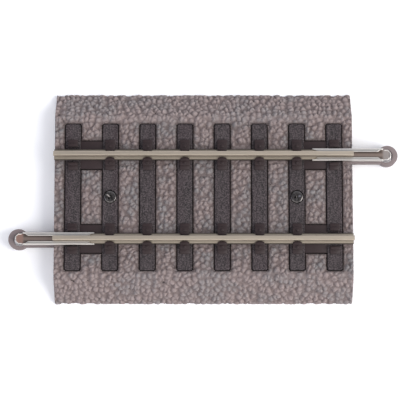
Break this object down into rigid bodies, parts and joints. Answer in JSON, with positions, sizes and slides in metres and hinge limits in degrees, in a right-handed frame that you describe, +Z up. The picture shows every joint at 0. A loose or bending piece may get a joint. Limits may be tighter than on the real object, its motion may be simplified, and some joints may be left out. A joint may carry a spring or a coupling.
{
  "type": "model railway track section",
  "caption": "Short straight model railway track: two rails on dark sleepers in a moulded ballast bed, with a sliding rail joiner over a click tongue at each end.",
  "frame": {"origin": "middle of the bed's underside, on the plane it stands on", "axes": "+X along the rails, +Y towards the back rail, +Z up"},
  "size_m": [0.0808, 0.0434, 0.007],
  "materials": {
    "ballast_plastic": "matt grey-brown moulding, stones picked out lighter",
    "sleeper_plastic": "dark brown moulding, fine wood grain",
    "rail_metal": "drawn nickel silver, warm grey",
    "joiner_metal": "bright folded nickel-silver sheet",
    "screw_metal": "blackened"
  },
  "bodies": {
    "track": {"ballast_bed": "ballast_plastic", "sleeper_grid": "sleeper_plastic", "front_rail": "rail_metal", "back_rail": "rail_metal", "left_screw": "screw_metal", "right_screw": "screw_metal"},
    "left_joiner": {"left_joiner": "joiner_metal"},
    "right_joiner": {"right_joiner": "joiner_metal"}
  },
  "joints": [
    {"name": "left_joiner_slide", "type": "slide", "parent": "track", "child": "left_joiner", "axis": [-1, 0, 0], "range_m": [-0.0014, 0.0074]},
    {"name": "right_joiner_slide", "type": "slide", "parent": "track", "child": "right_joiner", "axis": [1, 0, 0], "range_m": [-0.0014, 0.0074]}
  ]
}
